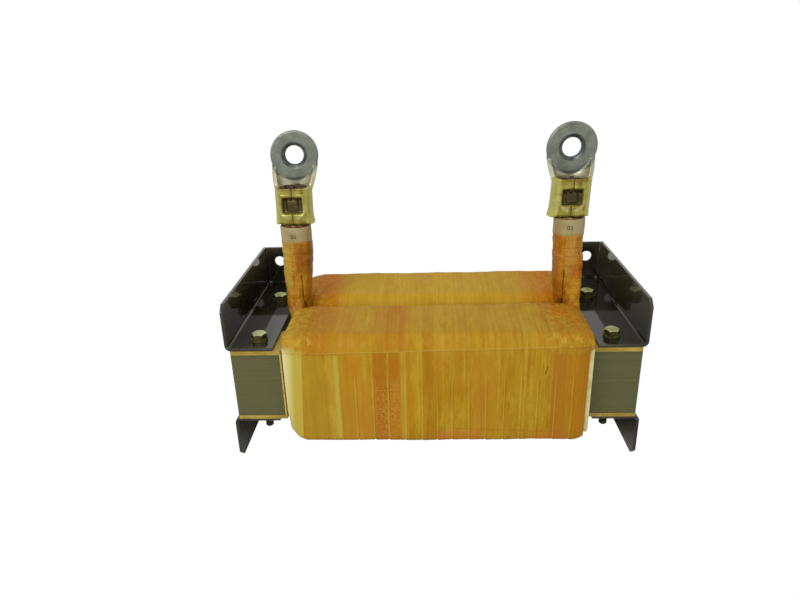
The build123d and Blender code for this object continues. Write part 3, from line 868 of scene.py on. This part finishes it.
def make_coil(name, row_y, row, look):
    """The taped skin of a coil, with soft ends that carry over its collars on top."""
    left, right = COIL_SIDES
    shares = [0.0, 0.12, 0.24, 0.36, 0.48, 0.6, 0.7, 0.8, 0.88, 0.94, 0.98, 1.0]
    stations = [("left", share) for share in reversed(shares)]
    stations += [(x, 0.0) for x in np.arange(left + 10.2, right - 9.7, 0.8)]
    stations += [("right", share) for share in shares]
    points = []
    for at, share in stations:
        ring, outline, normals = coil_ring(lambda p: end_inset(p, share, at))
        over = over_collar(outline, at)
        if at == "left":
            x = left + END_RUN - share * (END_RUN + COLLAR_OUT + 0.25) * over
        elif at == "right":
            x = right - END_RUN + share * (END_RUN + (COLLAR_OUT + 0.25) * over)
        else:
            x = np.full(len(ring), at)
        depth = coil_depth(float(np.mean(x)), outline, row) * (1 - 0.6 * share)
        depth = depth + (0.3 * share if at == "left" else 0.0)
        ring = ring - normals * np.maximum(depth, 0.06)[:, None]
        points.append(np.column_stack([x, row_y + ring[:, 0], COIL_Z + ring[:, 1]]))
    return make_piece(name, np.vstack(points), grid_faces(len(points), len(points[0])), look)


def make_collar(name, row_y, look):
    """The left collar of a coil, cut a little smaller so that it lies inside the tape's soft end."""
    outer = coil_ring(lambda p: end_inset(p, 0.98, "left") + 0.9)[0]
    middle = np.array((0.0, COIL_Z))
    inner = np.clip(outer, -FORMER_HALF - middle, FORMER_HALF - middle)
    left = COIL_SIDES[0]
    away = left - COLLAR_OUT
    rings = [(inner, left), (outer, left), (outer, away + 0.3), (outer * 0.995, away), (inner, away)]
    points = []
    for ring, x in rings:
        points.append(np.column_stack([np.full(len(ring), x), row_y + ring[:, 0], COIL_Z + ring[:, 1]]))
    faces = grid_faces(len(rings), len(outer), closed=True)
    return make_piece(name, np.vstack(points), faces, look, smooth=False)


def make_bead(level, side, look):
    """Filler under the paint: a strip in a bracket's relief slit and a blob where its bends meet."""
    sign = 1 if side == "right" else -1
    strip = [oval(150.45, 151.75, -2.85, -0.15, z, 2.6, 16) for z in (32.0, 40.0, 52.0, 64.2)]
    drop = []
    for step in range(1, 12):
        turn = math.pi * step / 12
        reach = math.sin(turn)
        low_x, high_x = 149.9 - 3.1 * reach, 149.9 + 3.1 * reach
        low_y, high_y = -3.6 - 3.2 * reach, -3.6 + 3.2 * reach
        drop.append(oval(low_x, high_x, low_y, high_y, 31.2 - 2.9 * math.cos(turn), 2.2, 20))
    points, faces = joined([tube(strip), tube(drop)])
    points[:, 0] *= sign
    points[:, 2] *= 1 if level == "top" else -1
    piece = make_piece(f"corner_bead_{level}_{side}", points, faces, look)
    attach(piece, "root")


def end_inset(points, share, end):
    """How far a coil's end is drawn in: a soft slope over the left collar, a squarer end on the right."""
    over = over_collar(points, end)
    if end == "left":
        low = smooth_step(-points[:, 1], 14.0, 42.0)
        slope = 0.35 * (share > 0) + 3.0 * share ** 1.35 + 7.8 * low * share ** 2.6
        return slope + (2.0 if share == 1.0 else 0.0)
    slope = 2.6 * share ** 2.2 + (3.0 if share == 1.0 else 0.0)
    rounding = 3.2 * share ** 2.4 + (3.0 if share == 1.0 else 0.0)
    return slope * (1 - over) + rounding * over


# Lugs

LEAD_Y = -86.2
LUGS = {
    "left": {
        "x": -103.8, "lean": 0.0265, "foot": 111.0, "top": 138.6,
        "wide": 1.03, "eye": 160.0, "ring": 18.05, "flare": (0.6, 1.6),
    },
    "right": {
        "x": 101.7, "lean": 0.043, "foot": 112.9, "top": 141.2,
        "wide": 1.07, "eye": 160.9, "ring": 18.55, "flare": (1.8, 0.6),
    },
}
NECK_Y = 11.75
SHEET = 3.4
EYE_HOLE = 7.0


def pressed(radius, front, z, lug, share_up):
    """A ring of a lug's barrel: round behind, pressed flat in front, flared at its foot."""
    angle = np.linspace(0, 2 * math.pi, 160, endpoint=False)
    flare = np.exp(-share_up / 0.12)
    x = radius * np.sin(angle) * lug["wide"]
    x = x + np.where(x < 0, -lug["flare"][0], lug["flare"][1]) * flare * np.abs(np.sin(angle))
    y = -radius * np.cos(angle) * (1 + 0.06 * flare)
    past = np.clip(-y - front, 0, None)
    y = np.where(past > 0, -front - 1.9 * (1 - np.exp(-past / 1.9)), y)
    return np.column_stack([x, y, np.full(len(x), float(z))])


def crimped(ring, middle):
    """Push the crimp's pocket, with its raised pad and its soft dent, into the front of a ring."""
    x, y, z = ring[:, 0], ring[:, 1], ring[:, 2] - middle
    edge = np.maximum(np.abs(x) - 7.8, np.abs(z) - 6.4)
    pad = np.maximum(np.abs(x) - 4.0, np.abs(z + 0.2) - 4.2)
    pocket = 3.0 * (1 - smooth_step(edge, -1.5, 0.2)) - 1.3 * (1 - smooth_step(pad, -0.6, 0.6))
    dent = 1.0 * np.exp(-((x / 10) ** 2) - (z / 9) ** 2)
    rim = -0.5 * np.exp(-(((edge - 1.0) / 0.9) ** 2))
    seam = 0.8 * np.exp(-((x / 0.5) ** 2)) * (np.abs(z) > 6.0)
    moved = ring.copy()
    moved[:, 1] += np.where(y < -2, pocket + dent + rim + seam, 0.0)
    return moved


def smooth_step(value, low, high):
    share = np.clip((value - low) / (high - low), 0, 1)
    return share * share * (3 - 2 * share)


def barrel_rings(lug):
    """A barrel as one closed skin: a shallow socket below, the pressed outside, and an open mouth above."""
    foot, top = lug["foot"], lug["top"]
    middle = foot + CRIMP_RISE
    rings = [pressed(9.4, 6.4, foot + 4.0, lug, 1.0), pressed(10.6, 7.4, foot + 0.3, lug, 1.0)]
    for z in np.arange(foot, top - 0.5, 0.5):
        share = (z - foot) / (top - foot)
        ring = pressed(13.5 - 0.25 * math.exp(-share / 0.02), 8.3, z, lug, share)
        raised = smooth_step(-ring[:, 1], 3.0, 9.0) * (1 - smooth_step(np.abs(ring[:, 0]), 9.0, 14.0))
        ring[:, 2] += (2.6 + 0.3 * np.cos(ring[:, 0] * 0.5)) * raised * (1 - smooth_step(share, 0.0, 0.3))
        rings.append(crimped(ring, middle))
    mouth = ((13.3, 8.2, -0.1), (12.6, 7.9, 0.15), (10.2, 6.6, -0.1), (9.9, 6.3, -6.0))
    return rings + [pressed(radius, front, top + rise, lug, 1.0) for radius, front, rise in mouth]


def neck_shell(lug):
    """The sheet that opens from the barrel's back half up to the round eye."""
    top, eye = lug["top"], lug["eye"]
    columns, rows = 61, 26
    mid = np.zeros((rows, columns, 3))
    for r in range(rows):
        t = r / (rows - 1)
        for c in range(columns):
            phi = math.radians(-92 + 184 * c / (columns - 1))
            reach = phi * 78 / 92
            low = np.array([11.8 * lug["wide"] * math.sin(phi), NECK_Y * math.cos(phi), top - 3.0])
            rise = eye - 0.93 * lug["ring"] * math.cos(reach)
            high = np.array([(lug["ring"] - 1.6) * math.sin(reach), NECK_Y, rise])
            ahead = (1 - (1 - t) ** 1.8, 0.3 * t + 0.7 * smooth_step(t, 0.0, 1.0), t)
            mid[r, c] = low + (high - low) * ahead
    normal = np.cross(np.gradient(mid, axis=1), np.gradient(mid, axis=0))
    normal /= np.linalg.norm(normal, axis=2, keepdims=True)
    outer = mid + normal * SHEET / 2
    inner = mid - normal * SHEET / 2
    return [np.vstack([outer[r], inner[r][::-1]]) for r in range(rows)]


def eye_rings(lug):
    """The flat round eye with a cone round its hole, as rings swept round the eye's centre."""
    eye, reach = lug["eye"], lug["ring"]
    half = SHEET / 2
    profile = [
        (EYE_HOLE, half), (EYE_HOLE, -half + 1.4), (EYE_HOLE + 0.4, -half + 0.9),
        (EYE_HOLE + 2.6, -half - 0.35), (EYE_HOLE + 3.1, -half - 0.5), (reach - 1.0, -half - 0.5),
        (reach - 0.25, -half - 0.2), (reach, -half + 0.6), (reach, half - 0.6),
        (reach - 0.5, half - 0.05), (reach - 1.0, half),
    ]
    count = 140
    points = []
    for step in range(count):
        angle = 2 * math.pi * step / count
        for radius, depth in profile:
            points.append((radius * math.sin(angle), NECK_Y + depth, eye + radius * math.cos(angle)))
    return np.array(points), grid_faces(count, len(profile), closed=True)


def make_lug_piece(side, look):
    """A cable lug's whole skin: barrel, neck and eye, fused."""
    lug = LUGS[side]
    points, faces = joined([tube(barrel_rings(lug)), tube(neck_shell(lug)), eye_rings(lug)])
    points[:, 0] += lug["x"] + lug["lean"] * (points[:, 2] - lug["foot"])
    points[:, 1] += LEAD_Y
    piece = make_piece(f"rolled_lug_{side}", points, faces, look)
    fuse(piece, 0.5, 2)
    place(piece, "lug", f"lug_{side}")


def make_strands(side, look):
    """The ends of the conductor's strands in the mouth of a lug, on one body in the barrel."""
    lug = LUGS[side]
    level = lug["top"] + (0.1 if side == "left" else -1.6)
    parts = []
    spots = [(0.0, 0.0)]
    for ring, number in ((4.1, 6), (8.0, 12)):
        turns = [2 * math.pi * (i + 0.3 * ring) / number for i in range(number)]
        spots += [(ring * math.sin(turn), ring * math.cos(turn)) for turn in turns]
    for i, (x, y) in enumerate(spots):
        y = max(y, -4.6 + 0.2 * y)
        height = level + 0.45 * math.sin(i * 2.3)
        rounded = ((1.75, 1.3), (1.6, 0.6), (1.1, 0.12), (0.3, 0.0))
        rings = [oval(x - 1.75, x + 1.75, y - 1.75, y + 1.75, level - 9.0, 2.0, 16)]
        for radius, under in rounded:
            rings.append(oval(x - radius, x + radius, y - radius, y + radius, height - under, 2.0, 16))
        parts.append(tube(rings))
    core = [oval(-9.4, 9.4, -6.2, 9.4, z, 2.2, 40) for z in (lug["foot"] - 13.0, level - 2.4)]
    parts.append(tube(core))
    points, faces = joined(parts)
    points[:, 0] += lug["x"] + lug["lean"] * (level - lug["foot"])
    points[:, 1] += LEAD_Y
    piece = make_piece(f"strands_{side}", points, faces, look)
    place(piece, "conductor", f"conductor_{side}")


# Leads

NUMBER_RADIUS = 11.62
LEADS = {
    "left": {
        "trunk": (
            (98.0, -115.4, -92.6, -97.6, -75.0), (90.0, -115.6, -92.3, -97.8, -74.8),
            (82.0, -115.3, -93.1, -98.0, -74.0),
            (75.0, -114.9, -94.1, -98.3, -72.6), (71.0, -114.6, -94.8, -98.2, -72.0),
            (67.5, -113.0, -96.4, -96.4, -74.0),
        ),
        "front": (
            (86.0, -114.6, -101.0, -97.7, -84.5), (74.0, -114.8, -100.9, -98.4, -85.2),
            (57.0, -114.0, -101.0, -99.0, -85.4),
            (46.0, -114.3, -101.2, -99.0, -85.4), (38.0, -113.0, -101.2, -98.8, -85.4),
            (27.0, -111.0, -100.5, -98.6, -85.4),
        ),
        "rear": (
            (86.0, -106.0, -92.9, -97.0, -75.0), (74.0, -105.4, -94.5, -97.4, -72.0),
            (60.0, -105.8, -96.4, -97.0, -71.0),
            (50.0, -106.3, -97.8, -95.0, -70.6), (44.0, -106.3, -98.4, -91.0, -70.6),
            (27.0, -106.4, -98.6, -85.0, -70.6),
        ),
        "neck": (-114.5, -92.9, 96.0, 110.9), "sleeve": (94.4, 109.4), "sleeve_x": -104.0,
    },
    "right": {
        "trunk": (
            (99.5, 91.8, 113.9, -97.6, -75.0), (92.0, 91.9, 113.9, -97.8, -74.8),
            (84.0, 92.6, 113.9, -98.0, -74.2),
            (76.0, 93.4, 113.9, -98.3, -72.8), (68.0, 94.2, 113.9, -98.3, -72.0),
            (64.0, 95.6, 112.8, -96.6, -74.0),
        ),
        "front": (
            (84.0, 99.4, 113.7, -97.7, -84.5), (72.0, 99.6, 113.8, -98.6, -85.2),
            (57.0, 100.4, 113.8, -99.0, -85.4),
            (48.0, 101.2, 113.6, -99.4, -85.4), (42.0, 102.0, 114.0, -100.5, -85.4),
            (36.0, 102.6, 114.6, -102.5, -85.4),
            (27.0, 103.0, 113.6, -103.0, -85.4),
        ),
        "rear": (
            (84.0, 92.3, 105.5, -97.0, -75.0), (72.0, 93.8, 104.0, -97.2, -72.0),
            (57.0, 94.6, 104.0, -96.0, -71.0),
            (48.0, 95.8, 104.4, -93.0, -70.6), (43.0, 96.4, 105.0, -89.0, -70.6),
            (27.0, 97.2, 105.4, -84.0, -70.6),
        ),
        "neck": (92.2, 113.8, 98.0, 112.8), "sleeve": (98.2, 111.6), "sleeve_x": 103.0,
    },
}


def make_lead_piece(side, look):
    """A taped lead: a round trunk and two legs, fused, with a soft neck above for the lug."""
    lead = LEADS[side]
    low_x, high_x, low_z, high_z = lead["neck"]
    neck = (
        (low_z, low_x + 0.6, high_x - 0.6, -96.8, -75.6),
        (high_z, low_x + 1.2, high_x - 1.2, -96.0, -76.0),
    )
    shapes = ((lead["trunk"], 2.4), (lead["front"], 3.4), (lead["rear"], 3.4), (neck, 2.6))
    points, faces = joined([tube(lofted(stations, power=power)) for stations, power in shapes])
    piece = make_piece(f"taped_lead_{side}", points, faces, look)
    fuse(piece, 0.62, 4)
    points = vectors(piece.data) / MM
    angle = np.arctan2(points[:, 1] - LEAD_Y, points[:, 0] - lead["sleeve_x"])
    turns = (points[:, 2] + 1.6 * np.sin(angle + 0.7) + 0.5 * np.sin(3 * angle)) / LEAD_WRAP
    share = turns - np.floor(turns)
    wrap = np.where(share < 0.1, share / 0.1, 1 - (share - 0.1) / 0.9)
    crumple = np.sin(points[:, 2] * 0.8 + 3 * angle)
    crumple = crumple + np.sin(points[:, 2] * 0.33 - 5 * angle + points[:, 0] * 0.3)
    amount = (0.14 * wrap - 0.15 + 0.1 * crumple) * (points[:, 2] < low_z - 0.5)
    set_vertices(piece.data, points + vectors(piece.data, "normal") * amount[:, None])
    place(piece, "lead_tape", f"lead_{side}")


def make_sleeve(side, look):
    """A marker sleeve, slightly out of round."""
    lead = LEADS[side]
    low, high = lead["sleeve"]
    outer = []
    for z in np.linspace(low, high, 22):
        edge = min(z - low, high - z)
        radius = 11.45 - 0.5 * math.exp(-edge / 0.35)
        ring = oval(-radius, radius, -radius, radius, z, 2.15, 120)
        angle = np.arctan2(ring[:, 1], ring[:, 0])
        swell = 1 + 0.012 * np.sin(2 * angle + 1.0) + 0.008 * np.sin(5 * angle + z * 0.5)
        ring[:, :2] *= swell[:, None]
        ring[:, 2] += 0.25 * np.sin(angle * 2 + (0.5 if side == "left" else 2.2))
        outer.append(ring)
    inner = [ring * (0.9, 0.9, 1.0) for ring in (outer[-1], outer[0])]
    points = np.vstack(outer + inner)
    points[:, 0] += lead["sleeve_x"]
    points[:, 1] += LEAD_Y
    faces = grid_faces(len(outer) + 2, len(outer[0]), closed=True)
    place(make_piece(f"marker_{side}", points, faces, look), "marker_sleeve", f"marker_sleeve_{side}")


def make_number(side, ink):
    """A plain number, bent round the front of a marker sleeve."""
    lead = LEADS[side]
    curve = bpy.data.curves.new(f"number_{side}", "FONT")
    curve.body = "01" if side == "left" else "02"
    curve.size = 4.6
    curve.align_x = "CENTER"
    curve.align_y = "CENTER"
    curve.resolution_u = 3
    text = add_object(f"number_curve_{side}", curve)
    mesh = evaluated_mesh(text)
    bpy.data.objects.remove(text)
    flat = vectors(mesh)
    angle = flat[:, 0] / 11.6 + (0.0 if side == "left" else -0.12)
    x = lead["sleeve_x"] + NUMBER_RADIUS * np.sin(angle)
    y = LEAD_Y - NUMBER_RADIUS * np.cos(angle)
    z = sum(lead["sleeve"]) / 2 + 0.6 + flat[:, 1]
    set_vertices(mesh, np.column_stack([x, y, z]))
    wear(mesh, ink)
    number = add_object(f"number_{side}", mesh)
    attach(number, "root")


make_camera()
looks = {
    "core": lamination_look(),
    "sheet": sheet_look(),
    "cream": cream_look(),
    "bracket": bracket_look(),
    "zinc": zinc_look(),
    "washer": washer_look(),
    "gap": gap_look(),
    "tape_front": tape_look(True),
    "tape_rear": tape_look(False),
    "lead_left": lead_look("left"),
    "lead_right": lead_look("right"),
    "marker": marker_look(),
    "ink": ink_look(),
    "lug_left": lug_look("left"),
    "lug_right": lug_look("right"),
    "strand": strand_look(),
    "inner": plain_inner_look("inner_plastic", rgb(190, 176, 120), rgb(170, 150, 90)),
    "copper": plain_inner_look("winding_copper", rgb(168, 104, 62), rgb(140, 82, 48), 0.7),
}


def dress(look, *nodes):
    """Give CAD nodes that keep their shape a better material."""
    for node in nodes:
        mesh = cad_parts[node].data
        if not mesh.materials:
            mesh.materials.append(looks[look])
        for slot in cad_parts[node].material_slots:
            slot.material = looks[look]


rows = {row: float(node_box(f"tape_{row}")[:, 1].mean()) for row in ("front", "rear")}
ends = ("left", "right")
dress("core", "yoke_left", "yoke_right", "limb_front", "limb_rear")
dress("zinc", "clamp_bolts", "clamp_nuts")
dress("washer", "washers_top", "washers_bottom")
dress("inner", "bolt_sleeves", "former_front", "former_rear")
dress("copper", "winding_front", "winding_rear")
dress("gap", *[f"gap_spacer_{side}_{row}" for side in ends for row in rows])
dress("cream", *[f"collar_right_{row}" for row in rows])
dress("sheet", *[f"insulation_{level}_{side}" for side in ends for level in ("top", "bottom")])
for level in ("top", "bottom"):
    for side in ends:
        softened(f"bracket_{level}_{side}", 0.35, looks["bracket"], "bracket_paint")
        make_bead(level, side, looks["bracket"])
for index, (row, row_y) in enumerate(rows.items()):
    place(make_coil(f"taped_coil_{row}", row_y, index, looks[f"tape_{row}"]), "coil_tape", f"tape_{row}")
    place(make_collar(f"end_plate_{row}", row_y, looks["cream"]), "collar", f"collar_left_{row}")
for side in ends:
    make_lug_piece(side, looks[f"lug_{side}"])
    make_strands(side, looks["strand"])
    make_lead_piece(side, looks[f"lead_{side}"])
    make_sleeve(side, looks["marker"])
    make_number(side, looks["ink"])


# Lights, floor and backdrop

WORLD_LIGHT = 0.58
WORLD_SHINE = 0.82
FLOOR_REACH = 2.5


def area_light(name, place, aim, size, power):
    data = bpy.data.lights.new(name, "AREA")
    data.shape = "RECTANGLE"
    data.size, data.size_y = size
    data.energy = power
    light = add_object(name, data)
    light.rotation_euler = (Vector(place) - Vector(aim)).to_track_quat("Z", "Y").to_euler()
    light.location = place


def make_world():
    """A white world for the camera, softer as light and in reflections."""
    world = bpy.data.worlds.new("world")
    world.use_nodes = True
    tree = world.node_tree
    background = tree.nodes["Background"]
    background.inputs["Color"].default_value = (1, 1, 1, 1)
    path = tree.nodes.new("ShaderNodeLightPath")
    shine = tree.nodes.new("ShaderNodeMapRange")
    shine.inputs["To Min"].default_value = WORLD_LIGHT
    shine.inputs["To Max"].default_value = WORLD_SHINE
    level = tree.nodes.new("ShaderNodeMath")
    level.operation = "MAXIMUM"
    wire(
        tree, (path.outputs["Is Glossy Ray"], shine.inputs["Value"]),
        (path.outputs["Is Camera Ray"], level.inputs[0]), (shine.outputs[0], level.inputs[1]),
        (level.outputs[0], background.inputs["Strength"]),
    )
    bpy.context.scene.world = world
    bpy.context.scene.view_settings.view_transform = "Standard"


def make_floor():
    """A pale floor that the camera sees as plain white."""
    look = bpy.data.materials.new("floor")
    look.use_nodes = True
    tree = look.node_tree
    tree.nodes.clear()
    out = tree.nodes.new("ShaderNodeOutputMaterial")
    matte = tree.nodes.new("ShaderNodeBsdfDiffuse")
    matte.inputs["Color"].default_value = (0.8, 0.8, 0.8, 1)
    plain = tree.nodes.new("ShaderNodeEmission")
    mixed = tree.nodes.new("ShaderNodeMixShader")
    path = tree.nodes.new("ShaderNodeLightPath")
    wire(
        tree, (path.outputs["Is Camera Ray"], mixed.inputs[0]), (matte.outputs[0], mixed.inputs[1]),
        (plain.outputs[0], mixed.inputs[2]), (mixed.outputs[0], out.inputs[0]),
    )
    mesh = bpy.data.meshes.new("floor")
    low, reach = cad_box[0][2] - 0.0001, FLOOR_REACH
    corners = [(-reach, -reach, low), (reach, -reach, low), (reach, reach, low), (-reach, reach, low)]
    mesh.from_pydata(corners, [], [(0, 1, 2, 3)])
    mesh.materials.append(look)
    add_object("floor", mesh)


make_world()
make_floor()
area_light("key", (-0.45, -1.05, 0.8), (0, -0.08, 0.02), (0.9, 0.7), 8.6)
area_light("top", (0.1, -0.05, 1.3), (0, -0.08, 0.02), (1.2, 1.0), 2.8)
